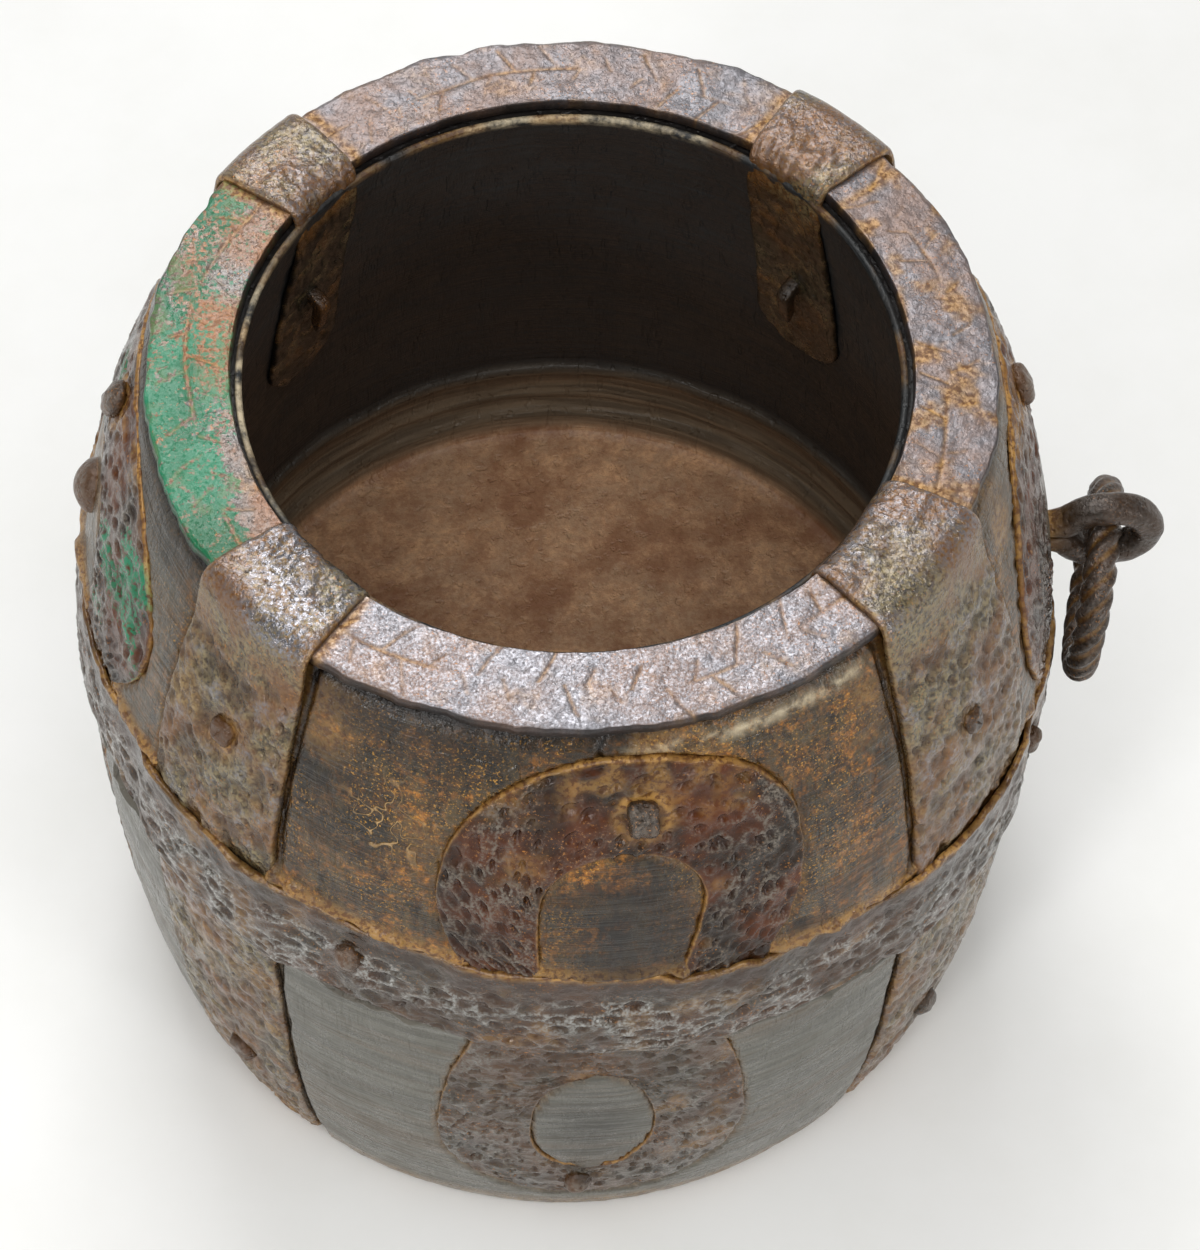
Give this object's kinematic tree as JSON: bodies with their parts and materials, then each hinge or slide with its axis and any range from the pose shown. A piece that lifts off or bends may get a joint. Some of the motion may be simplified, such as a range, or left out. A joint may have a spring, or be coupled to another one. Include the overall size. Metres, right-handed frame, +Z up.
{
  "type": "grain measure",
  "caption": "Barrel-shaped turned wooden grain measure bound with forged iron rim plates, folded straps, a belly band and horseshoe plates, with a twisted carrying ring hanging in a side eye.",
  "frame": {"origin": "centre of the flat underside of the wooden body, on its turning axis", "axes": "+Z up along the turning axis, -Y towards the front bay, +X towards the eye and its ring"},
  "size_m": [0.1716, 0.1568, 0.1435],
  "materials": {
    "wood": "dark old wood, worn satin",
    "rim_iron": "hammered and cut, worn bright",
    "painted_iron": "worn green paint over rusty iron",
    "plate_iron": "forged, pitted and brown with rust",
    "nail_iron": "forged, dark",
    "ring_iron": "forged, dark, worn by handling"
  },
  "bodies": {
    "measure": {"band_nail_back": "nail_iron", "band_nail_front": "nail_iron", "band_nail_left": "nail_iron", "band_nail_right": "nail_iron", "belly_band": "plate_iron", "eye_staple": "ring_iron", "foot_nail_back_left": "nail_iron", "foot_nail_back_right": "nail_iron", "foot_nail_front_left": "nail_iron", "foot_nail_front_right": "nail_iron", "left_stud": "nail_iron", "lower_crescent_back": "plate_iron", "lower_crescent_front": "plate_iron", "lower_crescent_left": "plate_iron", "lower_crescent_right": "plate_iron", "lower_nail_back": "nail_iron", "lower_nail_front": "nail_iron", "lower_nail_left": "nail_iron", "lower_nail_right": "nail_iron", "rim_plate_back": "rim_iron", "rim_plate_front": "rim_iron", "rim_plate_left": "painted_iron", "rim_plate_right": "rim_iron", "strap_back_left": "plate_iron", "strap_back_right": "plate_iron", "strap_front_left": "plate_iron", "strap_front_right": "plate_iron", "strap_nail_back_left": "nail_iron", "strap_nail_back_right": "nail_iron", "strap_nail_front_left": "nail_iron", "strap_nail_front_right": "nail_iron", "upper_crescent_back": "plate_iron", "upper_crescent_front": "plate_iron", "upper_crescent_left": "plate_iron", "upper_crescent_right": "plate_iron", "upper_nail_back": "nail_iron", "upper_nail_front": "nail_iron", "upper_nail_left": "nail_iron", "upper_nail_right": "nail_iron", "wooden_body": "wood"},
    "ring": {"twisted_ring": "ring_iron"}
  },
  "joints": [
    {"name": "ring_swing", "type": "hinge", "parent": "measure", "child": "ring", "pos_m": [0.08412, 0, 0.09497], "axis": [0, -1, 0], "range_deg": [-4, 195]}
  ]
}
